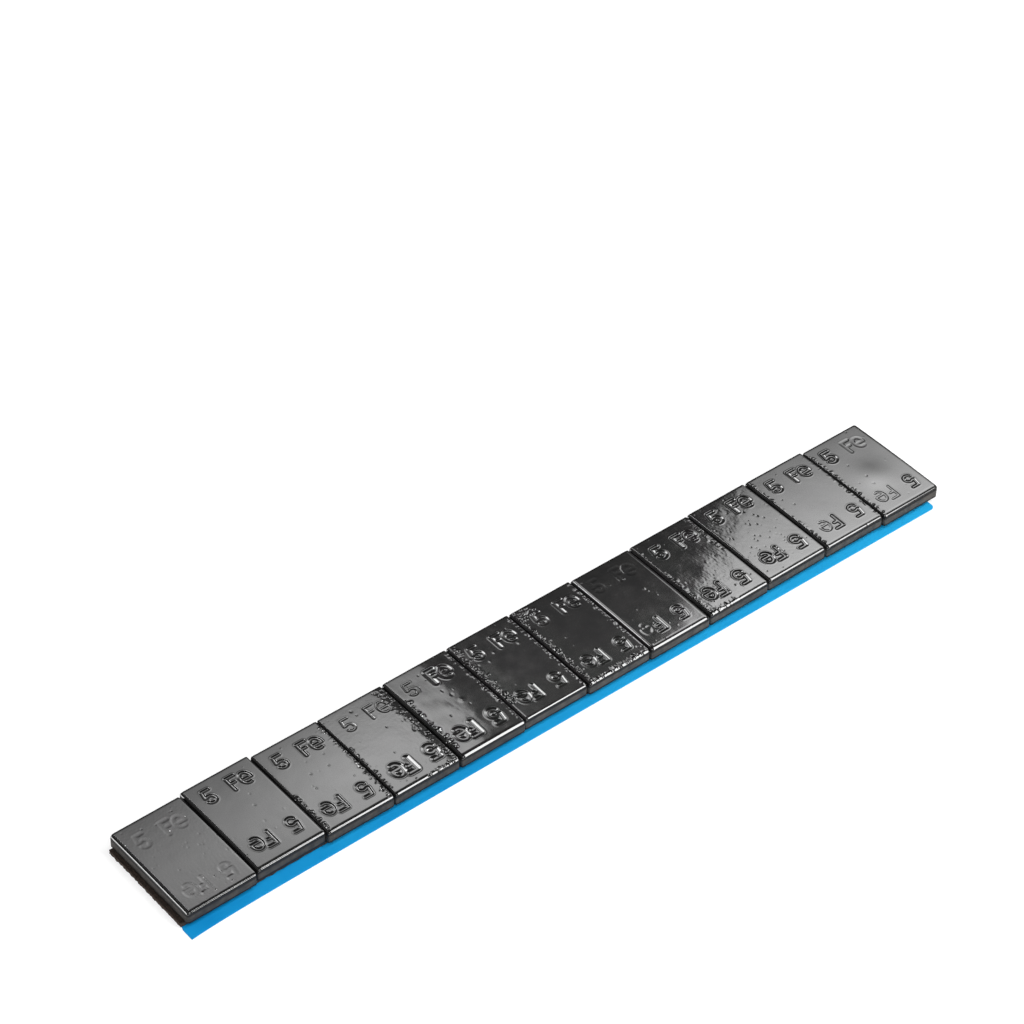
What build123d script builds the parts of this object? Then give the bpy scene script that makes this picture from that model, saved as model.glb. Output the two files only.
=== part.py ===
from build123d import *
import os

# Stick-on wheel balance weight: a row of pressed steel weights on one foam tape, with a release liner under it.
# Millimetres, +Z up. X runs along the row, Y across it, and the liner's pull margin is on the -Y side.
# The origin is below the middle of the row, on the liner's underside.

# Weights
WEIGHT_COUNT = 12
WEIGHT_LENGTH = 12.7         # along the row
WEIGHT_WIDTH = 20.9          # across the row
WEIGHT_HEIGHT = 2.45
WEIGHT_GAP = 0.5             # from one weight to the next
CORNER_RADIUS = 0.5          # upright corners, seen from above
TOP_EDGE_RADIUS = 0.3        # edge that the press rolls over
FOOT_EDGE_BREAK = 0.25       # bevel round the face that lies on the tape

# How each weight was laid on the tape, from the first to the last
SLIPS_ALONG = [-0.25, 0.25, 0.05, -0.3, 0.1, -0.05, 0.1, -0.15, -0.2, -0.05, 0.25, -0.25]    # shares of the gap
SLIPS_ACROSS = [0.05, 0.6, 0.05, 0.0, 0.05, 0.1, 0.0, -0.15, 0.0, 0.2, 0.15, -0.2]
TURNS = [0.4, 0.2, -0.3, 0.1, 0.3, 0.0, 0.2, 0.1, 0.2, 0.4, 0.0, 0.2]    # degrees, seen from above

# Foam tape
TAPE_WIDTH = 19.2
TAPE_THICKNESS = 0.8
TAPE_SHIFT = 0.2             # its middle line, behind the row's
TAPE_START_PAST = 1.25       # tape left bare before the first weight
TAPE_END_SHORT = 1.65        # how far the last weight reaches past the tape

# Release liner
LINER_THICKNESS = 0.1
LINER_MARGIN = 2.5           # film to pull by, in front of the tape
LINER_START_RADIUS = 0.4     # front corner at the row's start
LINER_END_RADIUS = 0.9       # front corner at the row's end

# Heights and ends that follow from the sizes above
PITCH = WEIGHT_LENGTH + WEIGHT_GAP
ROW_LENGTH = WEIGHT_COUNT * PITCH - WEIGHT_GAP
TAPE_FOOT = LINER_THICKNESS
WEIGHT_FOOT = TAPE_FOOT + TAPE_THICKNESS
TAPE_START = -ROW_LENGTH / 2 - TAPE_START_PAST
TAPE_END = ROW_LENGTH / 2 - TAPE_END_SHORT
TAPE_FRONT = TAPE_SHIFT - TAPE_WIDTH / 2
TAPE_BACK = TAPE_SHIFT + TAPE_WIDTH / 2


def weight_blank():
    """One weight with its foot on the ground plane: rounded corners, rolled top edge, bevelled foot."""
    plan = fillet(Rectangle(WEIGHT_LENGTH, WEIGHT_WIDTH).vertices(), CORNER_RADIUS)
    blank = extrude(plan, WEIGHT_HEIGHT)
    blank = fillet(blank.faces().sort_by(Axis.Z)[-1].edges(), TOP_EDGE_RADIUS)
    return chamfer(blank.faces().sort_by(Axis.Z)[0].edges(), FOOT_EDGE_BREAK)


def weight_place(index):
    """Where a weight lies: its turn in the row, with the slip and twist it was laid with."""
    along = (index - (WEIGHT_COUNT - 1) / 2) * PITCH + SLIPS_ALONG[index % len(SLIPS_ALONG)] * WEIGHT_GAP
    across = SLIPS_ACROSS[index % len(SLIPS_ACROSS)]
    return Pos(along, across, WEIGHT_FOOT) * Rot(0, 0, TURNS[index % len(TURNS)])


def strip_plan(front, start_radius, end_radius):
    """Outline of a strip from the tape's start to its end, and from a front edge to the tape's back."""
    middle = Pos((TAPE_START + TAPE_END) / 2, (front + TAPE_BACK) / 2)
    plan = middle * Rectangle(TAPE_END - TAPE_START, TAPE_BACK - front)
    if start_radius:
        plan = fillet(plan.vertices().group_by(Axis.Y)[0].sort_by(Axis.X)[0], start_radius)
    if end_radius:
        plan = fillet(plan.vertices().group_by(Axis.Y)[0].sort_by(Axis.X)[-1], end_radius)
    return plan


def adhesive_tape():
    """Foam tape: cut square at both ends, between the liner and the weights."""
    return Pos(0, 0, TAPE_FOOT) * extrude(strip_plan(TAPE_FRONT, 0, 0), TAPE_THICKNESS)


def release_liner():
    """Film under the tape: cut with it at both ends, wider than it along the front."""
    front = TAPE_FRONT - LINER_MARGIN
    return extrude(strip_plan(front, LINER_START_RADIUS, LINER_END_RADIUS), LINER_THICKNESS)


os.makedirs("parts", exist_ok=True)
weight = weight_blank()
for index in range(WEIGHT_COUNT):
    export_step(weight_place(index) * weight, f"parts/weight_{index + 1:02d}.step")
export_step(adhesive_tape(), "parts/adhesive_tape.step")
export_step(release_liner(), "parts/release_liner.step")
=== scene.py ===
import logging
import math
from dataclasses import dataclass, field
from enum import Enum

import bpy
import numpy as np
from mathutils import Matrix, Vector


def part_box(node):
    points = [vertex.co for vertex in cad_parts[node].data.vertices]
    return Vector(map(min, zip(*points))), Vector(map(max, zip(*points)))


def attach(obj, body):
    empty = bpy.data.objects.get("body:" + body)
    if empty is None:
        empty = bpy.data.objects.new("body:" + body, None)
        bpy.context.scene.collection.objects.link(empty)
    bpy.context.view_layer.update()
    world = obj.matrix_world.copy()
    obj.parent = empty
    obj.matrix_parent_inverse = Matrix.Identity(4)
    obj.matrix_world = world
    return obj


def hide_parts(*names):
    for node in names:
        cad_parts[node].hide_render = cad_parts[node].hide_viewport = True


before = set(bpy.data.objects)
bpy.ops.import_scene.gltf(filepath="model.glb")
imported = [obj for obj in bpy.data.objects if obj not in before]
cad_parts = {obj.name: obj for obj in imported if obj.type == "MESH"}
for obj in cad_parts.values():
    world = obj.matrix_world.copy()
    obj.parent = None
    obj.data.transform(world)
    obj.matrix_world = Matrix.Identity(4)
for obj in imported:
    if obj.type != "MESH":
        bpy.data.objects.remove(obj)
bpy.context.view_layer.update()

# A strip of stick-on wheel balance weights: twelve painted steel weights on foam tape, over a blue film.
# Shapes are worked out in millimetres and written to the meshes in metres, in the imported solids' frame.

LOG = logging.getLogger("balance_weights")
MM = 0.001
BODY = "root"
Socket = bpy.types.NodeSocket
CLOUDY = (0.3, 0.7)     # where most values of a noise lie
SHADED = (0.3, 0.72)    # values at which a finish has its dark and its light shade


class Slot(Enum):
    """Names of the material slots."""

    PAINT = "weight_paint"
    FOAM = "foam_tape"
    FILM = "liner_film"


class Edge(Enum):
    """The four edges of a weight's top, by the way they face: (along the row, across it)."""

    START = (-1, 0)
    END = (1, 0)
    FRONT = (0, -1)
    BACK = (0, 1)


class Strike(Enum):
    """How a mark came out of the press and the paint: (depth, half width of the groove) in mm."""

    CRISP = (0.065, 0.4)
    FULL = (0.075, 0.48)
    SOFT = (0.048, 0.44)
    BLURRED = (0.06, 0.68)
    THIN = (0.025, 0.33)
    FAINT = (0.015, 0.5)
    GHOST = (0.011, 0.55)


def smoothstep(share: np.ndarray) -> np.ndarray:
    """Eases a share from 0 to 1 with level ends."""
    share = np.clip(share, 0.0, 1.0)
    return share * share * (3.0 - 2.0 * share)


def spaced(stops: list[tuple[float, float]], end: float) -> np.ndarray:
    """Places along a line, with a spacing of its own after each stop.

    Args:
        stops: (place, spacing up to the next place), in order.
        end: the last place.

    Returns:
        The places, each stop among them.
    """
    runs = []
    ends = [place for place, _ in stops[1:]] + [end]
    for (start, step), stop in zip(stops, ends):
        count = max(1, round((stop - start) / step))
        runs.append(np.linspace(start, stop, count, endpoint=False))
    return np.concatenate(runs + [np.array([end])])


def plan_points(along: np.ndarray, across: np.ndarray) -> np.ndarray:
    """Points of a grid in plan, row by row."""
    return np.stack(np.meshgrid(along, across), -1).reshape(-1, 2)


def at_level(plan: np.ndarray, level: float) -> np.ndarray:
    """Puts the points of a plan at one level."""
    return np.column_stack([plan, np.full(len(plan), level)])


def rounded(past: np.ndarray) -> np.ndarray:
    """Draws the points of a square corner in to a round one, in shares of the corner's radius."""
    return past * np.sqrt(np.maximum(1.0 - 0.5 * past[:, ::-1] ** 2, 0.3))


class Shell:
    """A closed mesh while it is being made: a grid of points on top, then rings of points to the foot."""

    def __init__(self, top: np.ndarray, rows: int, columns: int) -> None:
        """Starts with the top.

        Args:
            top: the grid's points in mm, row by row.
            rows: how many rows it has.
            columns: how many points a row has.
        """
        corner = np.arange(rows * columns).reshape(rows, columns)
        faces = np.stack([corner[:-1, :-1], corner[:-1, 1:], corner[1:, 1:], corner[1:, :-1]], -1)
        self.rim = np.concatenate([corner[0, :-1], corner[:-1, -1], corner[-1, :0:-1], corner[:0:-1, 0]])
        self.faces = faces.reshape(-1, 4).tolist()
        self.rings = [top]
        self.last = self.rim
        self.count = len(top)

    def descend(self, points: np.ndarray) -> None:
        """Adds a wall from the last ring down to a new one.

        Args:
            points: the new ring's points, in the rim's order.
        """
        below = np.arange(self.count, self.count + len(points))
        self.faces += np.stack([self.last, below, np.roll(below, -1), np.roll(self.last, -1)], -1).tolist()
        self.rings.append(points)
        self.last = below
        self.count += len(points)

    def close(self, middle: tuple) -> None:
        """Closes the foot with triangles round one point.

        Args:
            middle: the point, in mm.
        """
        hub = np.full(len(self.last), self.count)
        self.faces += np.stack([np.roll(self.last, -1), self.last, hub], -1).tolist()
        self.rings.append(np.array([middle]))

    def points(self) -> np.ndarray:
        """Every corner point, in the order that the faces count them."""
        return np.concatenate(self.rings)


def mesh_object(name: str, points: np.ndarray, faces: list, place: Matrix) -> bpy.types.Object:
    """Makes a smooth-shaded mesh object.

    Args:
        name: the piece's name.
        points: corner points in mm, in the piece's own frame.
        faces: corner numbers of each face.
        place: where the piece's frame lies, in metres.

    Returns:
        The new object, linked to the scene.
    """
    mesh = bpy.data.meshes.new(name)
    mesh.from_pydata((points * MM).tolist(), [], faces)
    mesh.polygons.foreach_set("use_smooth", np.ones(len(mesh.polygons), bool))
    mesh.validate()
    mesh.update()
    piece = bpy.data.objects.new(name, mesh)
    piece.matrix_world = place
    bpy.context.scene.collection.objects.link(piece)
    return piece


def seat(piece: bpy.types.Object, node: str) -> None:
    """Puts a piece in its solid's place.

    Args:
        piece: the piece.
        node: the solid that it stands for.
    """
    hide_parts(node)
    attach(piece, BODY)


@dataclass(frozen=True)
class Ripples:
    """Smooth random relief: many waves of about one length in mm, all ways, with slopes in degrees."""

    wavelength: float
    slope: float
    seed: int
    waves: int = 48
    lengths: tuple = (0.7, 1.5)

    def at(self, points: np.ndarray) -> np.ndarray:
        """Relief at some points.

        Args:
            points: places in mm, one row each.

        Returns:
            The relief's height at each, in mm, about zero on average.
        """
        draw = np.random.default_rng(self.seed)
        ways = draw.normal(size=(self.waves, 3))
        ways /= np.linalg.norm(ways, axis=1, keepdims=True)
        lengths = self.wavelength * draw.uniform(*self.lengths, self.waves)
        phases = draw.uniform(0.0, math.tau, self.waves)
        turns = ways * (math.tau / lengths)[:, None]
        total = np.cos(points @ turns.T + phases).sum(1)
        height = math.radians(self.slope) * self.wavelength / math.tau
        return total * height * math.sqrt(2.0 / self.waves)


def blobs(points: np.ndarray, centres: np.ndarray, radii: np.ndarray, heights: np.ndarray) -> np.ndarray:
    """Relief of many small bumps or dents.

    Args:
        points: places in mm, one row each.
        centres: where each blob sits.
        radii: each blob's spread along X, Y and Z.
        heights: each blob's height, below zero for a dent.

    Returns:
        The relief's height at each point, in mm.
    """
    ends_at = 3.2
    relief = np.zeros(len(points))
    for centre, radius, height in zip(centres, radii, heights):
        close = (np.abs(points[:, :2] - centre[:2]) < ends_at * radius[:2]).all(1)
        near = np.flatnonzero(close)
        away = (((points[near] - centre) / radius) ** 2).sum(1)
        relief[near] += height * np.exp(-0.5 * away)
    return relief


@dataclass(frozen=True)
class Marks:
    """Strokes of the mass mark: a figure 5 and the iron sign Fe, as the lines that the punch follows."""

    height: float = 2.88
    figure_at: float = -4.2
    capital_at: float = 0.68
    small_at: float = 2.54
    base: float = 5.45
    arc_points: int = 25

    def arc(self, centre: tuple, radii: tuple, start: float, end: float) -> np.ndarray:
        """Points along part of an ellipse.

        Args:
            centre: its middle.
            radii: its half width and half height.
            start: angle of the first point, in degrees.
            end: angle of the last point.

        Returns:
            The points, one row each.
        """
        turn = np.radians(np.linspace(start, end, self.arc_points))
        return np.stack([centre[0] + radii[0] * np.cos(turn), centre[1] + radii[1] * np.sin(turn)], -1)

    def figure_five(self) -> list[np.ndarray]:
        """Draws the 5.

        Returns:
            A flag and a neck in one stroke, and a bowl.
        """
        bowl = self.arc((0.75, 0.78), (0.77, 0.78), 128.0, -155.0)
        neck = np.array([(1.5, self.height), (0.25, self.height), (-0.02, 1.4), bowl[0]])
        return [neck, bowl]

    def capital_f(self) -> list[np.ndarray]:
        """Draws the F.

        Returns:
            A stem with its upper arm, and the lower arm.
        """
        stem = np.array([(0.0, 0.0), (0.0, self.height), (1.47, self.height)])
        arm = np.array([(0.0, 1.55), (0.9, 1.55)])
        return [stem, arm]

    def small_e(self) -> list[np.ndarray]:
        """Draws the e.

        Returns:
            A bar, and a bowl from the bar's end round to the open end.
        """
        bar = np.array([(0.02, 1.03), (1.79, 1.03)])
        bowl = self.arc((0.9, 1.22), (0.9, 1.24), -9.0, 289.0)
        return [bar, bowl]

    def placed(self) -> list[list[np.ndarray]]:
        """Sets the three signs along their base line.

        Returns:
            Each sign's strokes, in reading order.
        """
        signs = (self.figure_five(), self.capital_f(), self.small_e())
        places = (self.figure_at, self.capital_at, self.small_at)
        return [[stroke + np.array([at, self.base]) for stroke in sign] for sign, at in zip(signs, places)]


def distance_to(strokes: list[np.ndarray], points: np.ndarray) -> np.ndarray:
    """How far points lie from the nearest of some strokes.

    Args:
        strokes: lines of points.
        points: places to measure from, one row each.

    Returns:
        The distance of each point.
    """
    nearest = np.full(len(points), np.inf)
    for stroke in strokes:
        for start, end in zip(stroke[:-1], stroke[1:]):
            run = end - start
            share = np.clip((points - start) @ run / (run @ run), 0.0, 1.0)
            gap = points - start - share[:, None] * run
            nearest = np.minimum(nearest, np.hypot(gap[:, 0], gap[:, 1]))
    return nearest


class NodeTree:
    """The nodes of a finish, a light or the room while they are being joined."""

    def __init__(self, owner: bpy.types.ID) -> None:
        """Starts with the nodes that Blender gives.

        Args:
            owner: the material, the light or the world.
        """
        owner.use_nodes = True
        self.nodes = owner.node_tree.nodes
        self.links = owner.node_tree.links

    def feed(self, node: bpy.types.Node, feeds: dict) -> None:
        """Gives a node's inputs what they need.

        Args:
            node: the node.
            feeds: for each input, a socket to join or a fixed value.
        """
        for name, value in feeds.items():
            if isinstance(value, Socket):
                self.links.new(value, node.inputs[name])
            else:
                node.inputs[name].default_value = value

    def add(self, kind: str, feeds: dict, out: int | str = 0, **options: str) -> Socket:
        """Adds a node.

        Args:
            kind: the shader node's type.
            feeds: for each input, a socket to join or a fixed value.
            out: which output is wanted.
            options: the node's own settings.

        Returns:
            The output's socket.
        """
        node = self.nodes.new("ShaderNode" + kind)
        for name, option in options.items():
            setattr(node, name, option)
        self.feed(node, feeds)
        return node.outputs[out]

    def ramp(self, value: Socket, stops: tuple) -> Socket:
        """Runs from shade to shade with a value.

        Args:
            value: what drives the shade.
            stops: (place, grey or colour) of each stop, in order.

        Returns:
            The shade's socket.
        """
        node = self.nodes.new("ShaderNodeValToRGB")
        elements = node.color_ramp.elements
        while len(elements) < len(stops):
            elements.new(1.0)
        for element, (place, shade) in zip(elements, stops):
            element.position = place
            element.color = (*np.broadcast_to(shade, 3).tolist(), 1.0)
        self.feed(node, {"Fac": value})
        return node.outputs["Color"]

    def product(self, first: Socket, second: Socket | float) -> Socket:
        """Takes one number times another."""
        return self.add("Math", {0: first, 1: second}, operation="MULTIPLY")


class NodeSheet(NodeTree):
    """A finish while it is being made: one shader, and what feeds it."""

    def __init__(self, name: str, spread: float = 50.0) -> None:
        """Starts a material with a plain shader, a place on the piece and a number for each piece.

        Args:
            name: the material's name.
            spread: how far apart the numbers of two pieces may lie.
        """
        self.material = bpy.data.materials.new(name)
        super().__init__(self.material)
        self.shader = self.nodes["Principled BSDF"]
        self.place = self.add("TexCoord", {}, "Object")
        self.number = self.product(self.add("ObjectInfo", {}, "Random"), spread)

    def noise(self, scale: float, detail: float) -> Socket:
        """Cloudy values from 0 to 1: so many clouds to the metre, with so many finer levels."""
        feeds = {"Vector": self.place, "W": self.number, "Scale": scale, "Detail": detail}
        return self.add("TexNoise", feeds, "Fac", noise_dimensions="4D")

    def span(self, value: Socket, reach: tuple, ends: tuple) -> Socket:
        """Runs a number between two ends as a value goes over a reach."""
        limits = dict(zip(("From Min", "From Max", "To Min", "To Max"), (*reach, *ends)))
        return self.add("MapRange", {"Value": value} | limits, "Result")

    def level(self, axis: str) -> Socket:
        """Where a point lies on its piece along an axis, in metres."""
        return self.add("SeparateXYZ", {"Vector": self.place}, axis)

    def facing(self, axis: str) -> Socket:
        """How squarely the surface faces along an axis, either way, from 0 to 1."""
        along = self.add("SeparateXYZ", {"Vector": self.add("NewGeometry", {}, "Normal")}, axis)
        return self.add("Math", {0: along}, operation="ABSOLUTE")

    def mixed(self, share: Socket, start: Socket, end: float) -> Socket:
        """Goes from one number to another as a share goes from 0 to 1."""
        return self.add("Mix", {"Factor": share, "A": start, "B": end}, "Result")

    def colour(self, value: Socket, low: tuple, high: tuple) -> None:
        """Runs the shader's colour from one shade to another with a value."""
        self.feed(self.shader, {"Base Color": self.ramp(value, tuple(zip(SHADED, (low, high))))})

    def roughness(self, cloud: Socket, ends: tuple) -> None:
        """Runs the shader's roughness between two ends with a noise."""
        self.feed(self.shader, {"Roughness": self.span(cloud, CLOUDY, ends)})

    def relief(self, value: Socket, strength: float, depth: float) -> None:
        """Gives the shader a fine relief, of a depth in metres."""
        feeds = {"Height": value, "Strength": strength, "Distance": depth}
        self.feed(self.shader, {"Normal": self.add("Bump", feeds, "Normal")})


@dataclass(frozen=True)
class PaintFinish:
    """Thick glossy black paint over pressed steel."""

    name: str = "black_gloss_paint"
    dark: tuple = (0.003, 0.003, 0.0032)
    light: tuple = (0.01, 0.0094, 0.009)
    roughness: tuple = (0.045, 0.09)
    gloss: float = 1.85
    patch_scale: float = 420.0
    grain_scale: float = 5200.0
    grain_strength: float = 0.02
    grain_depth: float = 0.00002

    def make(self) -> bpy.types.Material:
        """Builds the material.

        Returns:
            Paint with cloudy shade, uneven gloss and a fine grain.
        """
        sheet = NodeSheet(self.name)
        cloud = sheet.noise(self.patch_scale, 4.0)
        sheet.colour(cloud, self.dark, self.light)
        sheet.roughness(cloud, self.roughness)
        sheet.relief(sheet.noise(self.grain_scale, 2.0), self.grain_strength, self.grain_depth)
        sheet.shader.inputs["IOR"].default_value = self.gloss
        return sheet.material


@dataclass(frozen=True)
class ShearedFinish:
    """Thin dull black paint on the sheared sides of a weight, with painted shade that darkens it towards
    the top and the foot.
    """

    name: str = "dull_side_paint"
    dark: tuple = (0.008, 0.008, 0.0085)
    light: tuple = (0.062, 0.057, 0.052)
    roughness: tuple = (0.5, 0.7)
    gloss: float = 1.3
    streak_scale: float = 900.0
    streak_shades: tuple = (0.45, 0.75)
    grain_scale: float = 4200.0
    grain_strength: float = 0.3
    grain_depth: float = 0.00003
    # painted shade: the paint darkens below this rise off the foot, where the weight meets the tape
    # (metres)
    rise: tuple = (0.0001, 0.0005)
    # painted shade: the paint darkens above these levels, a dark line under the rolled top edge (metres)
    brow: tuple = (0.002, 0.0014)

    def make(self) -> bpy.types.Material:
        """Builds the material.

        Returns:
            Paint with a streaky shade between two dark lines of painted shade, at the foot and under the
            top edge.
        """
        sheet = NodeSheet(self.name)
        streaks = sheet.noise(self.streak_scale, 4.0)
        # painted shade at the foot and under the top edge, multiplied into the streaky shade
        above = sheet.span(sheet.level("Z"), self.rise, (0.0, 1.0))
        below = sheet.span(sheet.level("Z"), self.brow, (0.0, 1.0))
        shade = sheet.product(sheet.product(above, below), sheet.span(streaks, CLOUDY, self.streak_shades))
        sheet.colour(shade, self.dark, self.light)
        sheet.roughness(streaks, self.roughness)
        sheet.relief(sheet.noise(self.grain_scale, 3.0), self.grain_strength, self.grain_depth)
        sheet.shader.inputs["IOR"].default_value = self.gloss
        return sheet.material


@dataclass(frozen=True)
class FoamFinish:
    """Matt black foam with a brownish cut face."""

    name: str = "black_foam"
    dark: tuple = (0.006, 0.0045, 0.004)
    light: tuple = (0.06, 0.042, 0.033)
    cut_facing: tuple = (0.4, 0.8)
    cut_share: float = 0.6
    cut_shade: float = 0.75
    roughness: tuple = (0.75, 0.95)
    cell_scale: float = 5200.0
    cell_strength: float = 0.5
    cell_depth: float = 0.00006
    patch_scale: float = 900.0
    gloss: float = 0.2

    def make(self) -> bpy.types.Material:
        """Builds the material.

        Returns:
            Foam with open cells that show as dark specks, partly its own speckle and partly painted shade
            in the hollows of its bump, paler on its cut faces.
        """
        sheet = NodeSheet(self.name)
        # the same noise darkens the colour and sinks the bump: partly speckle, partly painted shade in the
        # hollows
        cells = sheet.noise(self.cell_scale, 6.0)
        cut = sheet.span(sheet.facing("Z"), self.cut_facing, (self.cut_share, 0.0))
        sheet.colour(sheet.mixed(cut, cells, self.cut_shade), self.dark, self.light)
        sheet.roughness(sheet.noise(self.patch_scale, 3.0), self.roughness)
        sheet.relief(cells, self.cell_strength, self.cell_depth)
        sheet.shader.inputs["Specular IOR Level"].default_value = self.gloss
        return sheet.material


@dataclass(frozen=True)
class FilmFinish:
    """Blue release film with a dull siliconed face."""

    name: str = "blue_film"
    dark: tuple = (0.0, 0.197, 0.496)
    light: tuple = (0.02, 0.415, 0.773)
    # painted light: the film's shade rises along the row, paler towards its end where more light falls
    half_length: float = 0.08
    painted_light_along: tuple = (0.75, 1.25)
    cloud_shades: tuple = (0.44, 0.58)
    roughness: tuple = (0.42, 0.6)
    patch_scale: float = 90.0
    grain_scale: float = 2600.0
    grain_strength: float = 0.15
    grain_depth: float = 0.00002
    gloss: float = 0.15

    def make(self) -> bpy.types.Material:
        """Builds the material.

        Returns:
            Film with a faint cloudiness, painted light that makes it paler towards the row's end, and a
            fine matt grain.
        """
        sheet = NodeSheet(self.name)
        clouds = sheet.span(sheet.noise(self.patch_scale, 3.0), CLOUDY, self.cloud_shades)
        grain = sheet.noise(self.grain_scale, 3.0)
        # painted light: shade along the row, paler towards the end
        along = sheet.span(sheet.level("X"), (-self.half_length, self.half_length), self.painted_light_along)
        sheet.colour(sheet.product(along, clouds), self.dark, self.light)
        sheet.roughness(grain, self.roughness)
        sheet.relief(grain, self.grain_strength, self.grain_depth)
        sheet.shader.inputs["Specular IOR Level"].default_value = self.gloss
        return sheet.material


@dataclass(frozen=True)
class EdgeForm:
    """How the press rolled one edge of the top, in mm.

    The flat falls over a reach, then comes a roll, then a skirt that curves on slowly until it is upright.
    The upright side may stand out past the plain block's, and the roll may start at a kink of some degrees.
    """

    radius: float
    fall: float
    reach: float
    skirt: float = 0.1
    past: float = 0.0
    kink: float = 0.0
    roll_tilts: tuple = (8.0, 17.0, 26.0, 35.0, 45.0, 56.0, 66.0, 75.0)
    skirt_tilts: tuple = (80.0, 85.0, 90.0)
    side_shares: tuple = (0.35, 0.7)
    foot_tilts: tuple = (90.0, 120.0, 150.0, 180.0)

    def section(self, height: float, foot: float) -> np.ndarray:
        """The edge's section below the flat of the top.

        Args:
            height: the level of the flat.
            foot: radius of the rounding at the foot.

        Returns:
            A row for each ring: how far out it lies, its level, and the tilt of the surface in radians.
        """
        rows = []
        kink = math.radians(self.kink)
        last = math.radians(self.roll_tilts[-1])
        for turn in kink + np.radians(self.roll_tilts) * (1.0 - kink / last):
            sunk = self.radius * (math.cos(kink) - math.cos(turn))
            rows.append((self.radius * (math.sin(turn) - math.sin(kink)), height - sunk, turn))
        out, level, start = rows[-1]
        slow = self.skirt / (math.pi / 2.0 - start)
        for turn in np.radians(self.skirt_tilts):
            sunk = slow * (math.cos(start) - math.cos(turn))
            rows.append((out + slow * (math.sin(turn) - math.sin(start)), level - sunk, turn))
        out, level, turn = rows[-1]
        for share in self.side_shares:
            rows.append((out, level - share * (level - foot), turn))
        for turn in np.radians(self.foot_tilts):
            rows.append((out - foot * (1.0 - math.sin(turn)), foot * (1.0 + math.cos(turn)), turn))
        return np.array(rows)

    def inset(self) -> float:
        """How far the flat of the top lies inside the plain block's side."""
        return self.section(0.0, 0.0)[:, 0].max() - self.past


PRESSED_EDGES = {
    Edge.END: EdgeForm(0.15, 0.01, 0.3),
    Edge.FRONT: EdgeForm(0.38, 0.03, 0.55),
    Edge.BACK: EdgeForm(0.15, 0.012, 0.4),
}
THIN_FRONT = EdgeForm(0.25, 0.03, 0.5, 0.1, -0.12)


def start_edge(past: float) -> EdgeForm:
    """The edge that faces the row's start: a wide roll from a kink, wider if its side stands out more."""
    return EdgeForm(radius=1.38 * (past + 0.2), fall=0.003, reach=0.28, skirt=0.15, past=past, kink=14.0)


@dataclass(frozen=True)
class Beads:
    """A run of paint beads and dents along one edge, between two shares of the edge's half, -1 to 1."""

    edge: Edge
    start: float
    end: float
    reach: float = 0.3
    per_mm: float = 6.0
    size: float = 0.11
    dents: float = 0.3
    rise: float = 0.45
    inset: float = 0.2
    sizes: tuple = (0.55, 1.4)
    stretches: tuple = (1.0, 1.8)
    sunk: float = 0.3
    least_rise: float = 0.08
    dent_share: float = -0.7

    def relief(self, points: np.ndarray, half: np.ndarray, height: float,
               draw: np.random.Generator) -> np.ndarray:
        """Relief of the whole run.

        Args:
            points: places on the surface.
            half: half sizes of the block in plan.
            height: the level of the top.
            draw: the weight's random numbers.

        Returns:
            The beads' height at each point, in mm.
        """
        way = np.abs(self.edge.value)
        span = half @ way[::-1]
        count = int(self.per_mm * (self.end - self.start) * span)
        along = draw.uniform(self.start, self.end, count) * span
        inward = np.abs(draw.normal(0.0, self.reach, count)) + self.inset
        centres = np.zeros((count, 3))
        centres[:, :2] = along[:, None] * way[::-1]
        centres[:, :2] += (half @ way - inward)[:, None] * np.array(self.edge.value)
        centres[:, 2] = height
        size = self.size * draw.uniform(*self.sizes, count)
        stretch = draw.uniform(*self.stretches, count)
        spreads = [size * (1.0 + (stretch - 1.0) * share) for share in way]
        radii = np.column_stack(spreads + [np.full(count, self.sunk)])
        heights = size * (self.least_rise + self.rise * draw.random(count) ** 2)
        heights *= np.where(draw.random(count) < self.dents, self.dent_share, 1.0)
        return blobs(points, centres, radii, heights)


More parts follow.
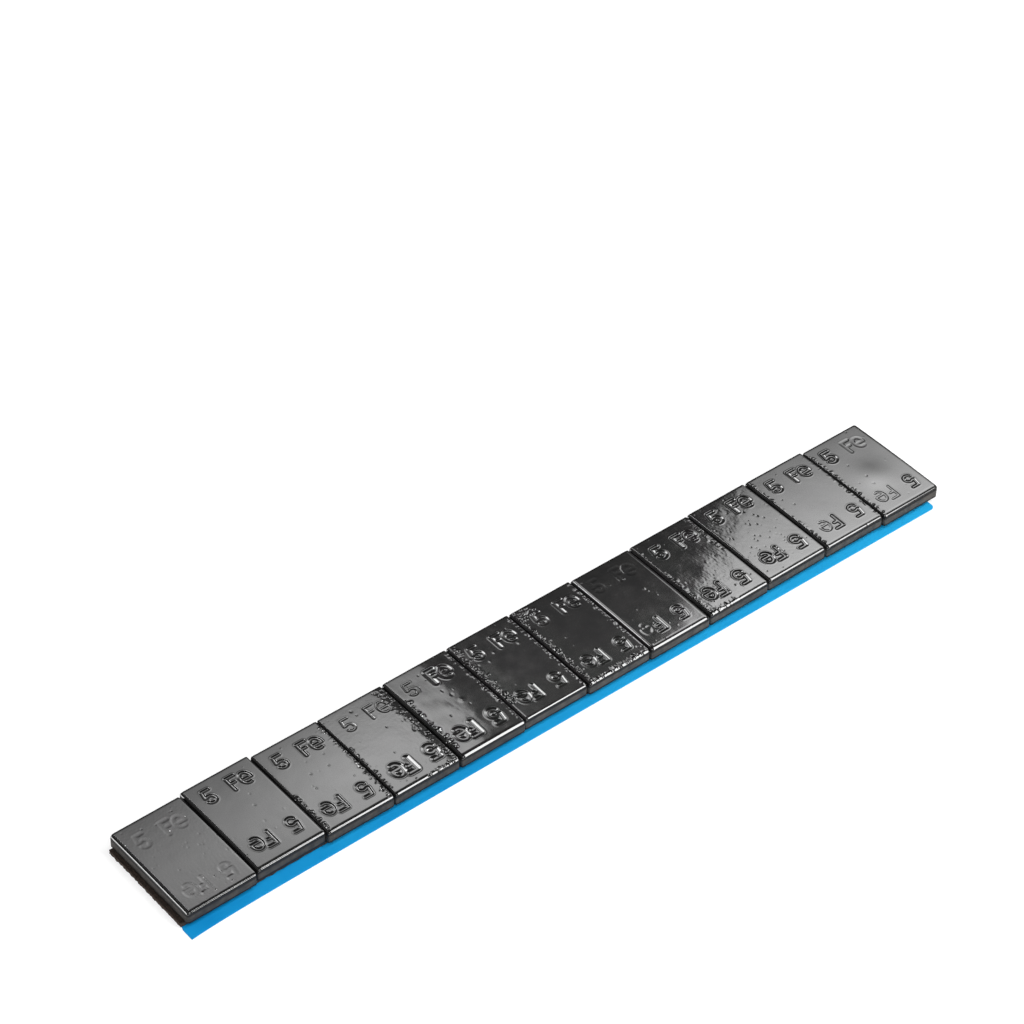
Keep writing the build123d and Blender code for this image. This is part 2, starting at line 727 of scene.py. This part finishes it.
@dataclass
class Weight:
    """One weight: a pressed steel block with rolled edges, two mass marks and thick paint."""

    number: int
    turn: float                         # degrees, seen from above
    back: tuple                         # strike of each sign of the back mark
    front: tuple                        # and of the front mark
    back_shift: tuple = (0.0, 0.0)
    front_shift: tuple = (0.0, 0.0)
    waves: tuple = ((6.0, 0.1), (2.0, 0.06), (0.6, 0.06))    # (wavelength, slope in degrees)
    pits: int = 8
    grains: int = 3
    beads: tuple = ()
    spots: tuple = ()                   # (along, across, radius, height)
    own_edges: dict = field(default_factory=dict)
    start_past: float = 0.2
    # painted light: True gives the weight a paler copy of the side paint, for the brighter reflection on
    # the sides further along the row
    painted_lit_sides: bool = True
    length: float = 12.7
    width: float = 20.9
    height: float = 2.45
    corner: float = 0.1
    foot_edge: float = 0.12
    crown: float = 0.125
    squareness: float = 0.6             # of the corners below the flat
    marks_from: float = 4.1             # off the middle line
    spacing: float = 0.09
    plain_spacing: float = 0.16
    kink_width: float = 0.025
    mark_band: tuple = (4.2, 9.8)
    groove_flat: float = 0.15           # share of a groove's half width
    rim_rise: float = 0.15              # share of a groove's depth
    rim_at: float = 0.04
    rim_width: float = 0.11
    pit_sizes: tuple = (0.07, 0.12)
    pit_heights: tuple = (-0.018, -0.004)
    grain_sizes: tuple = (0.06, 0.1)
    grain_heights: tuple = (0.003, 0.012)
    under_from: float = -0.2            # upward share of a surface that faces the tape

    @property
    def name(self) -> str:
        """The solid that this piece stands for."""
        return f"weight_{self.number:02d}"

    def half(self) -> np.ndarray:
        """Half sizes of the block in plan."""
        return np.array([self.length, self.width]) / 2.0

    def edges(self) -> dict:
        """The form of each edge: as most weights have it, or this weight's own."""
        return PRESSED_EDGES | {Edge.START: start_edge(self.start_past)} | self.own_edges

    def sections(self) -> dict:
        """The section of each edge."""
        return {edge: form.section(self.height, self.foot_edge) for edge, form in self.edges().items()}

    def flat(self) -> tuple[np.ndarray, np.ndarray]:
        """The top's flat in plan, inside the rolled edges.

        Returns:
            Its low and its high corner.
        """
        inset = {edge: form.inset() for edge, form in self.edges().items()}
        low = np.array([inset[Edge.START], inset[Edge.FRONT]]) - self.half()
        high = self.half() - np.array([inset[Edge.END], inset[Edge.BACK]])
        return low, high

    def past_corner(self, plan: np.ndarray) -> np.ndarray:
        """How far points of the flat lie past the middles of its rounded corners, along and across."""
        low, high = self.flat()
        return np.maximum(plan - high + self.corner, 0.0) - np.maximum(low + self.corner - plan, 0.0)

    def top_grid(self) -> tuple[np.ndarray, int, int]:
        """Points of the top's flat, row by row, with rounded corners.

        Returns:
            The points in plan, and how many rows and columns they make.
        """
        low, high = self.flat()
        bands = [(low[1], self.spacing), (-self.marks_from, self.plain_spacing),
                 (self.marks_from, self.spacing)]
        across = spaced(bands, high[1])
        along = spaced([(low[0], self.kink_width), (low[0] + self.kink_width, self.spacing)], high[0])
        grid = plan_points(along, across)
        past = self.past_corner(grid) / self.corner
        in_corner = (past != 0.0).all(1)
        grid[in_corner] += self.corner * (rounded(past) - past)[in_corner]
        return grid, len(across), len(along)

    def side_rings(self, plan: np.ndarray) -> list[tuple[np.ndarray, np.ndarray]]:
        """Rings of points from the flat's outline over the rolled edge and down to the foot.

        Args:
            plan: the flat's outline.

        Returns:
            Each ring's points, and the ways that the surface faces there.
        """
        past = self.past_corner(plan)
        out = past / np.linalg.norm(past, axis=1, keepdims=True)
        sections = self.sections()
        rings = []
        for number, turn in enumerate(sections[Edge.START][:, 2]):
            place = plan.copy()
            level = np.zeros(len(plan))
            for edge, section in sections.items():
                way = np.array(edge.value)
                share = np.maximum(out @ way, 0.0)
                place += section[number, 0] * share[:, None] ** self.squareness * way
                level += section[number, 1] * share**2
            facing = np.column_stack([math.sin(turn) * out, np.full(len(plan), math.cos(turn))])
            rings.append((np.column_stack([place, level]), facing))
        return rings

    def dull_sides(self, points: np.ndarray, faces: list, first: int) -> list[int]:
        """Says which faces have the dull paint of the sheared sides.

        Args:
            points: the weight's corner points.
            faces: corner numbers of each face.
            first: number of the first face below the flat of the top.

        Returns:
            Each face's material number: 0 glossy, 1 dull.
        """
        glossy_rings = len(EdgeForm.roll_tilts) - 2
        rolled = {edge: section[glossy_rings, 1] for edge, section in self.sections().items()}
        low, high = self.flat()
        walls = np.array([face for face in faces[first:] if len(face) == 4])
        middle = points[walls].mean(1)
        limit = np.where(middle[:, 1] < 0.0, rolled[Edge.FRONT], rolled[Edge.BACK])
        limit[middle[:, 0] < low[0]] = rolled[Edge.START]
        limit[middle[:, 0] > high[0]] = rolled[Edge.END]
        under = len(faces) - first - len(walls)
        return [0] * first + (middle[:, 2] < limit).astype(int).tolist() + [1] * under

    def grooves(self, plan: np.ndarray) -> np.ndarray:
        """Depth of the stamped marks.

        Args:
            plan: places on the top.

        Returns:
            Their relief, below zero in the grooves and a little above beside them.
        """
        relief = np.zeros(len(plan))
        low, high = self.mark_band
        both = ((1.0, self.back, self.back_shift), (-1.0, self.front, self.front_shift))
        for way, strikes, shift in both:
            reading = way * plan - np.array(shift)
            near = np.flatnonzero((reading[:, 1] > low) & (reading[:, 1] < high))
            for strokes, strike in zip(Marks().placed(), strikes):
                depth, half = strike.value
                away = distance_to(strokes, reading[near])
                flat = self.groove_flat * half
                wall = smoothstep((away - flat) / (half - flat))
                rim = np.exp(-(((away - half - self.rim_at) / self.rim_width) ** 2))
                relief[near] += self.rim_rise * depth * rim - depth * (1.0 - wall)
        return relief

    def paint_relief(self, points: np.ndarray) -> np.ndarray:
        """All that the press and the paint leave on the surface.

        Args:
            points: places on the smooth block.

        Returns:
            How far the surface stands off the block at each, in mm.
        """
        seed = 100 * self.number
        draw = np.random.default_rng(seed)
        half = self.half()
        relief = np.zeros(len(points))
        for step, (wavelength, slope) in enumerate(self.waves, 1):
            relief += Ripples(wavelength, slope, seed + step).at(points)
        for count, sizes, heights in ((self.pits, self.pit_sizes, self.pit_heights),
                                      (self.grains, self.grain_sizes, self.grain_heights)):
            centres = at_level(draw.uniform(-half, half, (count, 2)), self.height)
            radii = np.repeat(draw.uniform(*sizes, count)[:, None], 3, 1)
            relief += blobs(points, centres, radii, draw.uniform(*heights, count))
        if self.spots:
            spots = np.array(self.spots)
            centres = at_level(spots[:, :2], self.height)
            relief += blobs(points, centres, np.repeat(spots[:, 2:3], 3, 1), spots[:, 3])
        for run in self.beads:
            relief += run.relief(points, half, self.height, draw)
        return relief

    def sink(self, points: np.ndarray) -> np.ndarray:
        """How far the pressed top lies below the plain block's.

        Args:
            points: places on the block.

        Returns:
            The depth at each, in mm: a crown and a fall towards each edge, less and less to the foot.
        """
        half = self.half()
        depth = self.crown * ((points[:, 1] / half[1]) ** 2 - 0.5)
        for edge, form in self.edges().items():
            way = np.array(edge.value)
            inside = half @ np.abs(way) - points[:, :2] @ way
            depth += form.fall * np.maximum(0.0, (form.inset() + form.reach - inside) / form.reach) ** 2
        return depth * smoothstep(points[:, 2] / self.height)

    def place(self) -> Matrix:
        """Where the weight lies.

        Returns:
            The middle of its solid's foot, with the weight's turn, in metres.
        """
        low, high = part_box(self.name)
        middle = (low + high) / 2.0
        turn = Matrix.Rotation(math.radians(self.turn), 4, "Z")
        return Matrix.Translation((middle.x, middle.y, low.z)) @ turn

    def build(self) -> bpy.types.Object:
        """Makes the weight's mesh where its solid lies.

        Returns:
            The piece.
        """
        plan, rows, columns = self.top_grid()
        shell = Shell(at_level(plan, self.height), rows, columns)
        top_faces = len(shell.faces)
        facing = [np.tile((0.0, 0.0, 1.0), (len(plan), 1))]
        for ring, ring_facing in self.side_rings(plan[shell.rim]):
            shell.descend(ring)
            facing.append(ring_facing)
        shell.close((0.0, 0.0, 0.0))
        facing = np.concatenate(facing + [np.array([(0.0, 0.0, -1.0)])])
        points = shell.points()

        relief = self.paint_relief(points)
        relief[:len(plan)] += self.grooves(plan)
        under = facing[:, 2] < self.under_from
        relief[under] = 0.0
        shaped = points + relief[:, None] * facing
        shaped[:, 2] -= self.sink(points)
        piece = mesh_object(self.name + "_painted", shaped, shell.faces, self.place())
        piece.data.polygons.foreach_set("material_index", self.dull_sides(points, shell.faces, top_faces))
        return piece

    def dress(self, piece: bpy.types.Object, top: bpy.types.Material, side: bpy.types.Material) -> None:
        """Gives the weight its paint and its solid's place.

        Args:
            piece: what build made.
            top: the glossy paint.
            side: the dull paint of the sheared sides.
        """
        for finish in (top, side):
            piece.data.materials.append(finish)
        seat(piece, self.name)


def all_weights() -> list[Weight]:
    """The weights as press, paint and laying left them.

    Returns:
        All twelve, from the row's start to its end.
    """
    crisp = (Strike.CRISP,) * 3
    full = (Strike.FULL,) * 3
    soft = (Strike.SOFT,) * 3
    blurred = (Strike.BLURRED,) * 3
    ghost = (Strike.GHOST,) * 3
    return [
        Weight(1, 0.4, ghost, ghost, (-0.05, -0.7), (0.1, -0.1),
               waves=((6.0, 0.1), (2.0, 0.1), (0.5, 0.32)), pits=45, corner=0.25,
               own_edges={Edge.END: EdgeForm(0.08, 0.006, 0.4),
                          Edge.FRONT: EdgeForm(0.2, 0.03, 0.45, 0.1, -0.2)},
               start_past=0.4, painted_lit_sides=False),
        Weight(2, 0.2, crisp, crisp, (0.0, 0.0), (0.05, -0.92), pits=5,
               spots=((1.1, 1.0, 0.12, -0.02), (4.2, -2.4, 0.1, 0.008)),
               own_edges={Edge.FRONT: THIN_FRONT}, start_past=0.35, painted_lit_sides=False),
        Weight(3, -0.3, crisp, crisp, (0.0, -0.31), (0.02, -0.58), pits=6,
               spots=((-1.2, 1.45, 0.13, -0.02), (-2.35, -1.55, 0.12, -0.02), (3.0, 3.8, 0.1, -0.015),
                      (4.0, -3.0, 0.1, -0.015)),
               beads=(Beads(Edge.END, -0.95, 0.85), Beads(Edge.START, -0.95, 0.0, 0.2)),
               own_edges={Edge.FRONT: THIN_FRONT}, painted_lit_sides=False),
        Weight(4, 0.1, (Strike.THIN,) * 3, blurred, (0.36, -0.38), (-0.4, -0.5),
               waves=((6.0, 0.15), (2.0, 0.1), (0.55, 0.3)), pits=12, grains=6,
               spots=((-0.9, 8.55, 0.18, -0.02), (-0.7, 7.35, 0.12, -0.015), (1.5, 2.3, 0.12, -0.02)),
               beads=(Beads(Edge.END, -0.97, 0.97, 0.8, 5.0, 0.12, 0.5),
                      Beads(Edge.START, -0.9, 0.2, 0.15, 5.0, 0.09), Beads(Edge.FRONT, 0.0, 0.95)),
               own_edges={Edge.END: EdgeForm(0.15, 0.045, 1.8), Edge.FRONT: THIN_FRONT},
               start_past=0.12, painted_lit_sides=False),
        Weight(5, 0.3, (Strike.THIN, Strike.BLURRED, Strike.BLURRED), blurred, (-0.25, -0.3), (0.1, -0.4),
               waves=((6.0, 0.25), (2.5, 0.15), (0.7, 0.1)), pits=6, grains=6,
               spots=((1.35, -0.4, 0.28, 0.03), (0.75, 1.48, 0.14, -0.02), (0.1, 3.1, 0.12, -0.02),
                      (-2.2, -2.1, 0.12, -0.02)),
               beads=(Beads(Edge.START, -0.77, 0.48, 0.25, 5.0, 0.14, 0.5),
                      Beads(Edge.END, -0.9, 0.9, 0.15, 3.0)),
               own_edges={Edge.END: EdgeForm(0.15, 0.06, 6.0)}, start_past=0.4, painted_lit_sides=False),
        Weight(6, 0.0, soft, soft, (0.15, -0.42), (0.05, -0.65), pits=5, grains=5,
               spots=((-0.93, 4.8, 0.15, 0.015), (3.7, 4.05, 0.18, 0.02), (-2.75, 3.6, 0.13, 0.012),
                      (-5.0, 3.3, 0.13, 0.012)),
               beads=(Beads(Edge.START, -0.6, 0.97, 0.6, 8.0, 0.1, 0.2, 0.8),
                      Beads(Edge.END, -0.9, 0.95, 0.15, 3.0)),
               own_edges={Edge.FRONT: EdgeForm(0.22, 0.015, 0.5, 0.1, -0.16)}),
        Weight(7, 0.2, soft, soft, (0.3, -0.5), (-0.2, -0.5), pits=4,
               spots=((-2.63, 0.33, 0.13, 0.015), (-2.75, -1.9, 0.12, 0.012)),
               beads=(Beads(Edge.START, -0.95, 0.98, 0.35, 6.0, 0.1, 0.2, 0.8),
                      Beads(Edge.START, 0.72, 0.98, 1.4, 12.0, 0.1, 0.2, 0.7),
                      Beads(Edge.END, -0.95, 0.95, 0.2, 4.0), Beads(Edge.FRONT, -0.9, 0.9)),
               start_past=0.3),
        Weight(8, 0.1, ghost, (Strike.SOFT, Strike.SOFT, Strike.GHOST), (-0.35, -0.1), (0.4, -0.4),
               pits=4, grains=60,
               spots=((-1.93, 5.5, 0.12, 0.012), (0.9, 5.2, 0.12, 0.012), (1.95, 1.33, 0.17, 0.02),
                      (2.15, 0.5, 0.12, 0.012), (-2.4, -1.7, 0.12, 0.012)),
               own_edges={Edge.START: EdgeForm(0.32, 0.05, 0.5, 0.15, 0.15),
                          Edge.END: EdgeForm(0.35, 0.04, 0.45)}),
        Weight(9, 0.2, full, full, (0.05, -0.5), (-0.15, -0.2),
               waves=((6.0, 0.15), (1.6, 0.12), (0.6, 0.3)), pits=8, grains=8,
               spots=((1.4, -0.3, 0.14, 0.015), (1.65, -7.55, 0.14, 0.015)),
               beads=(Beads(Edge.START, -0.95, 0.0, 0.2, 5.0), Beads(Edge.START, 0.0, 0.9, 0.15, 2.0),
                      Beads(Edge.END, 0.0, 0.95, 0.35, 7.0), Beads(Edge.FRONT, -0.95, 0.0)),
               start_past=0.25),
        Weight(10, 0.4, full, full, (0.1, 0.0), (-0.35, -0.6),
               waves=((6.0, 0.15), (1.6, 0.15), (0.6, 0.2)), pits=90,
               spots=((2.6, 2.7, 0.13, -0.02),), start_past=0.3),
        Weight(11, 0.0, crisp, (Strike.CRISP, Strike.SOFT, Strike.THIN), (0.15, -0.42), (-0.15, -0.45),
               pits=5,
               beads=(Beads(Edge.START, -0.9, 0.95, 0.12, 2.0), Beads(Edge.END, -0.9, 0.95, 0.12, 2.0)),
               start_past=0.35),
        Weight(12, 0.2, (Strike.FULL, Strike.FAINT, Strike.FAINT), (Strike.CRISP, Strike.THIN, Strike.THIN),
               (0.0, -0.2), (0.0, -0.38), pits=6, corner=0.25,
               spots=((-1.8, -0.95, 0.12, -0.02), (-2.0, -3.1, 0.12, -0.02), (-0.6, -1.6, 2.2, 0.09)),
               beads=(Beads(Edge.START, -0.9, 0.9, 0.2, 3.5),),
               own_edges={Edge.END: EdgeForm(0.3, 0.02, 0.4)}, start_past=0.08),
    ]


@dataclass
class FoamTape:
    """The foam tape under the row, with torn cells along its cut edges, in mm."""

    node: str = "adhesive_tape"
    start_length: float = 2.2
    end_length: float = 1.0
    spacings: tuple = (0.12, 1.0, 0.2)    # along the start, the middle and the end
    spacing_across: float = 0.24
    bare: float = 0.95                    # length that shows before the first weight
    bare_relief: Ripples = Ripples(0.5, 9.0, 21)
    bare_sink: float = 0.02
    brow: float = 0.03
    layers: int = 6
    torn: Ripples = Ripples(0.45, 35.0, 22)
    tear: float = 0.06
    tear_out: float = 0.04
    edge_from: float = 0.9999             # share of the half size

    def build(self) -> bpy.types.Object:
        """Makes the tape's mesh where its solid lies.

        Returns:
            The piece.
        """
        low, high = (np.array(corner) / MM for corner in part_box(self.node))
        stops = (low[0], low[0] + self.start_length, high[0] - self.end_length)
        along = spaced(list(zip(stops, self.spacings)), high[0])
        across = spaced([(low[1], self.spacing_across)], high[1])
        plan = plan_points(along, across)
        top = at_level(plan, high[2])
        bare = plan[:, 0] < low[0] + self.bare
        top[bare, 2] += self.bare_relief.at(top[bare]) - self.bare_sink
        shell = Shell(top, len(across), len(along))

        outline = plan[shell.rim]
        middle = (low + high)[:2] / 2.0
        edge = (outline - middle) / ((high - low)[:2] / 2.0)
        out = np.where(np.abs(edge) > self.edge_from, np.sign(edge), 0.0)
        for share in np.linspace(0.0, 1.0, self.layers):
            level = high[2] - self.brow - share * (high[2] - low[2] - self.brow)
            layer = at_level(outline, level)
            tear = self.torn.at(layer) - self.tear
            layer[:, :2] += np.minimum(tear, self.tear_out)[:, None] * out
            shell.descend(layer)
        shell.close((*middle, low[2]))
        return mesh_object("foam_tape_cut", shell.points(), shell.faces, Matrix.Identity(4))

    def dress(self, piece: bpy.types.Object, finish: bpy.types.Material) -> None:
        """Gives the tape its foam and its solid's place."""
        piece.data.materials.append(finish)
        seat(piece, self.node)


@dataclass
class ReleaseLiner:
    """The blue film under the tape, with a front edge that bows a little, in mm."""

    node: str = "release_liner"
    margin: float = 2.6
    end_length: float = 3.0
    spacings: tuple = (0.15, 0.8, 0.15)    # along the start, the middle and the end
    spacings_across: tuple = (0.12, 1.5)   # over the margin and behind it
    start_bow: float = 0.5
    start_bow_reach: float = 6.0
    middle_bow: float = 0.12
    start_inset: float = 0.2               # keeps the film's start under the tape
    inset_from: float = 1.8
    inset_over: float = 0.8
    corner: float = 0.9
    edge_round: float = 0.03

    def front_bow(self, along: np.ndarray, low: float, high: float) -> np.ndarray:
        """How far the front edge stands out of a straight line.

        Args:
            along: places along the row.
            low: the film's start.
            high: the film's end.

        Returns:
            The distance to the front at each place, in mm.
        """
        share = (along - low) / (high - low)
        start = self.start_bow * np.exp((low - along) / self.start_bow_reach)
        return start - self.middle_bow * np.sin(math.pi * share)

    def outline(self, plan: np.ndarray, low: np.ndarray, high: np.ndarray) -> None:
        """Bows the front edge, draws the start in under the tape and rounds the front corner at the end.

        Args:
            plan: the film's points in plan, which are moved.
            low: low corner of the solid's box.
            high: high corner of it.
        """
        near = smoothstep((low[1] + self.margin - plan[:, 1]) / self.margin)
        plan[:, 1] -= near * self.front_bow(plan[:, 0], low[0], high[0])
        under = smoothstep((plan[:, 1] - low[1] - self.inset_from) / self.inset_over)
        near_start = np.maximum(1.0 - (plan[:, 0] - low[0]) / self.end_length, 0.0)
        plan[:, 0] += self.start_inset * (under * near_start)
        way = np.array([1.0, -1.0])
        past = np.maximum(way * (plan - np.array([high[0], low[1]])) + self.corner, 0.0) / self.corner
        in_corner = (past > 0.0).all(1)
        plan[in_corner] += (way * self.corner * (rounded(past) - past))[in_corner]

    def build(self) -> bpy.types.Object:
        """Makes the film's mesh where its solid lies.

        Returns:
            The piece.
        """
        low, high = (np.array(corner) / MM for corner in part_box(self.node))
        stops = (low[0], low[0] + self.end_length, high[0] - self.end_length)
        along = spaced(list(zip(stops, self.spacings)), high[0])
        across = spaced(list(zip((low[1], low[1] + self.margin), self.spacings_across)), high[1])
        plan = plan_points(along, across)
        self.outline(plan, low, high)
        shell = Shell(at_level(plan, high[2]), len(across), len(along))
        for level in (high[2] - self.edge_round, low[2]):
            shell.descend(at_level(plan[shell.rim], level))
        shell.close((*(low + high)[:2] / 2.0, low[2]))
        return mesh_object("release_film", shell.points(), shell.faces, Matrix.Identity(4))

    def dress(self, piece: bpy.types.Object, finish: bpy.types.Material) -> None:
        """Gives the film its finish and its solid's place."""
        piece.data.materials.append(finish)
        seat(piece, self.node)


@dataclass(frozen=True)
class SoftPanel:
    """A flat studio light that faces the strip, with angles in degrees as the strip sees it.

    Its light may differ upward from its foot and across from its right edge, each a row of
    (share of the way, share of the light).
    """

    name: str
    azimuth: float
    elevation: float
    width: float
    height: float
    radiance: float
    roll: float = 0.0
    upward: tuple = ((0.0, 1.0), (1.0, 1.0))
    across: tuple = ((0.0, 1.0), (1.0, 1.0))
    distance: float = 2.0

    def hang(self) -> bpy.types.Object:
        """Puts the light in the scene.

        Returns:
            The light.
        """
        turn, rise = math.radians(self.azimuth), math.radians(self.elevation)
        toward = Vector((math.sin(turn) * math.cos(rise), math.cos(turn) * math.cos(rise), math.sin(rise)))
        lamp = bpy.data.lights.new(self.name, "AREA")
        lamp.shape = "RECTANGLE"
        lamp.size = 2.0 * self.distance * math.tan(math.radians(self.width) / 2.0)
        lamp.size_y = 2.0 * self.distance * math.tan(math.radians(self.height) / 2.0)
        lamp.energy = self.radiance * math.pi * lamp.size * lamp.size_y
        self.shade(lamp)
        piece = bpy.data.objects.new(self.name, lamp)
        spin = Matrix.Rotation(math.radians(self.roll), 4, "Z")
        facing = toward.to_track_quat("Z", "Y").to_matrix().to_4x4()
        piece.matrix_world = Matrix.Translation(toward * self.distance) @ facing @ spin
        piece.visible_camera = False
        bpy.context.scene.collection.objects.link(piece)
        return piece

    def shade(self, lamp: bpy.types.Light) -> None:
        """Dims parts of the panel.

        Args:
            lamp: the light.
        """
        tree = NodeTree(lamp)
        place = tree.add("NewGeometry", {}, "Parametric")
        along, up = (tree.add("SeparateXYZ", {"Vector": place}, axis) for axis in "XY")
        strength = tree.product(tree.ramp(along, self.across), tree.ramp(up, self.upward))
        tree.feed(tree.nodes["Emission"], {"Strength": strength})


@dataclass
class Studio:
    """A pale floor, a dim room and soft panels."""

    floor_half: float = 4000.0
    floor_colour: tuple = (0.8, 0.8, 0.8)
    seen_share: float = 0.4
    seen_glow: float = 0.66
    room: tuple = ((0.0, 0.1), (0.62, 0.1), (0.656, 0.17), (0.73, 0.36), (0.8, 0.07), (1.0, 0.05))
    panels: tuple = (
        SoftPanel("start_panel", 27.8, 48.7, 16.0, 30.0, 3.0, 26.0,
                  ((0.27, 0.02), (0.55, 1.0), (0.66, 1.0), (0.75, 0.02)),
                  ((0.0, 0.72), (0.1, 1.0), (0.2, 1.0), (0.32, 0.66), (0.5, 0.5), (1.0, 0.3))),
        SoftPanel("end_panel", 53.2, 39.9, 12.0, 30.0, 4.5, 20.4,
                  ((0.27, 0.02), (0.647, 1.0), (0.74, 1.0), (0.84, 0.02))),
        SoftPanel("key_panel", 139.8, 35.9, 19.0, 84.0, 10.5, -26.3,
                  across=((0.0, 1.0), (0.7, 1.0), (0.83, 0.03))),
        SoftPanel("fill_panel", 218.0, 55.0, 40.0, 40.0, 3.0),
        SoftPanel("glint_panel", -54.0, 6.0, 34.0, 12.0, 8.0),
        SoftPanel("rim_panel", 19.5, 53.0, 6.0, 12.0, 9.0, 26.0),
        SoftPanel("back_panel", 0.0, 20.0, 52.0, 24.0, 1.1, 0.0,
                  ((0.0, 0.05), (0.5, 1.0), (1.0, 0.05)), ((0.0, 0.1), (0.5, 1.0), (1.0, 0.1))),
    )

    def lay_floor(self) -> bpy.types.Object:
        """Lays a wide pale floor that the strip stands on.

        Returns:
            The floor.
        """
        ways = np.array([(-1.0, -1.0, 0.0), (1.0, -1.0, 0.0), (1.0, 1.0, 0.0), (-1.0, 1.0, 0.0)])
        floor = mesh_object("studio_floor", self.floor_half * ways, [(0, 1, 2, 3)], Matrix.Identity(4))
        floor.data.materials.append(self.floor_finish())
        return floor

    def floor_finish(self) -> bpy.types.Material:
        """Pale matt floor that shows white with a soft shadow.

        Returns:
            The material.
        """
        material = bpy.data.materials.new("pale_floor")
        tree = NodeTree(material)
        tree.nodes.remove(tree.nodes["Principled BSDF"])
        lit = tree.add("BsdfDiffuse", {"Color": (*self.floor_colour, 1.0)})
        seen = tree.add("BsdfDiffuse", {"Color": (self.seen_share, self.seen_share, self.seen_share, 1.0)})
        glow = tree.add("Emission", {"Strength": self.seen_glow})
        shown = tree.add("AddShader", {0: seen, 1: glow})
        looks = tree.add("LightPath", {}, "Is Camera Ray")
        for ray in ("Is Glossy Ray", "Is Transmission Ray"):
            looks = tree.add("Math", {0: looks, 1: tree.add("LightPath", {}, ray)}, operation="MAXIMUM")
        surface = tree.add("MixShader", {"Fac": looks, 1: lit, 2: shown})
        tree.feed(tree.nodes["Material Output"], {"Surface": surface})
        return material

    def fill_room(self) -> None:
        """Makes the room round the strip: dim as light that falls on it, white as the camera sees it."""
        world = bpy.data.worlds.new("dim_room")
        bpy.context.scene.world = world
        tree = NodeTree(world)
        height = tree.add("SeparateXYZ", {"Vector": tree.add("TexCoord", {}, "Generated")}, "Z")
        dim = tree.nodes["Background"]
        tree.feed(dim, {"Color": tree.ramp(height, self.room)})
        white = tree.add("Background", {"Color": (1.0, 1.0, 1.0, 1.0)})
        looks = tree.add("LightPath", {}, "Is Camera Ray")
        room = tree.add("MixShader", {"Fac": looks, 1: dim.outputs[0], 2: white})
        tree.feed(tree.nodes["World Output"], {"Surface": room})

    def light(self) -> None:
        """Sets up the floor, the room and every panel."""
        self.lay_floor()
        self.fill_room()
        for panel in self.panels:
            panel.hang()
            LOG.info("light %s", panel.name)


@dataclass(frozen=True)
class PhotoCamera:
    """The camera that took the photograph, in the strip's frame, in metres and degrees."""

    place: tuple = (-0.26368, -0.30163, 0.39735)
    azimuth: float = -40.22
    elevation: float = 42.25
    roll: float = -1.5
    focal_pixels: float = 3427.6
    image_width: float = 1024.0
    sensor: float = 36.0
    nearest: float = 0.01

    def set_up(self) -> bpy.types.Object:
        """Makes it the scene's camera.

        Returns:
            The camera.
        """
        turn, rise, roll = (math.radians(angle) for angle in (self.azimuth, self.elevation, self.roll))
        back = Vector((math.sin(turn) * math.cos(rise), -math.cos(turn) * math.cos(rise), math.sin(rise)))
        level = (-back).cross(Vector((0.0, 0.0, 1.0))).normalized()
        down = (-back).cross(level)
        right = math.cos(roll) * level + math.sin(roll) * down
        up = math.sin(roll) * level - math.cos(roll) * down
        lens = bpy.data.cameras.new("photo_camera")
        lens.sensor_width = self.sensor
        lens.lens = self.focal_pixels / self.image_width * self.sensor
        lens.clip_start = self.nearest
        camera = bpy.data.objects.new("photo_camera", lens)
        axes = Matrix((right, up, back)).transposed().to_4x4()
        camera.matrix_world = Matrix.Translation(self.place) @ axes
        bpy.context.scene.collection.objects.link(camera)
        bpy.context.scene.camera = camera
        return camera


def report(piece: bpy.types.Object) -> None:
    """Logs a piece and its triangles."""
    piece.data.calc_loop_triangles()
    LOG.info("piece %s: %d triangles", piece.name, len(piece.data.loop_triangles))


def main() -> None:
    """Builds the strip, its light and its camera."""
    logging.basicConfig(level=logging.INFO, format="%(name)s: %(message)s")
    bpy.context.scene.view_settings.view_transform = "Standard"
    paint = PaintFinish().make()
    dull = ShearedFinish().make()
    # painted light: a paler copy of the side paint, for the sides that show a brighter reflection
    pale = ShearedFinish("painted_lit_side_paint", light=(0.085, 0.079, 0.072)).make()
    for weight in all_weights():
        piece = weight.build()
        weight.dress(piece, paint, pale if weight.painted_lit_sides else dull)
        report(piece)
    for part, finish in ((FoamTape(), FoamFinish()), (ReleaseLiner(), FilmFinish())):
        piece = part.build()
        part.dress(piece, finish.make())
        report(piece)
    Studio().light()
    PhotoCamera().set_up()


if __name__ == "__main__":
    main()
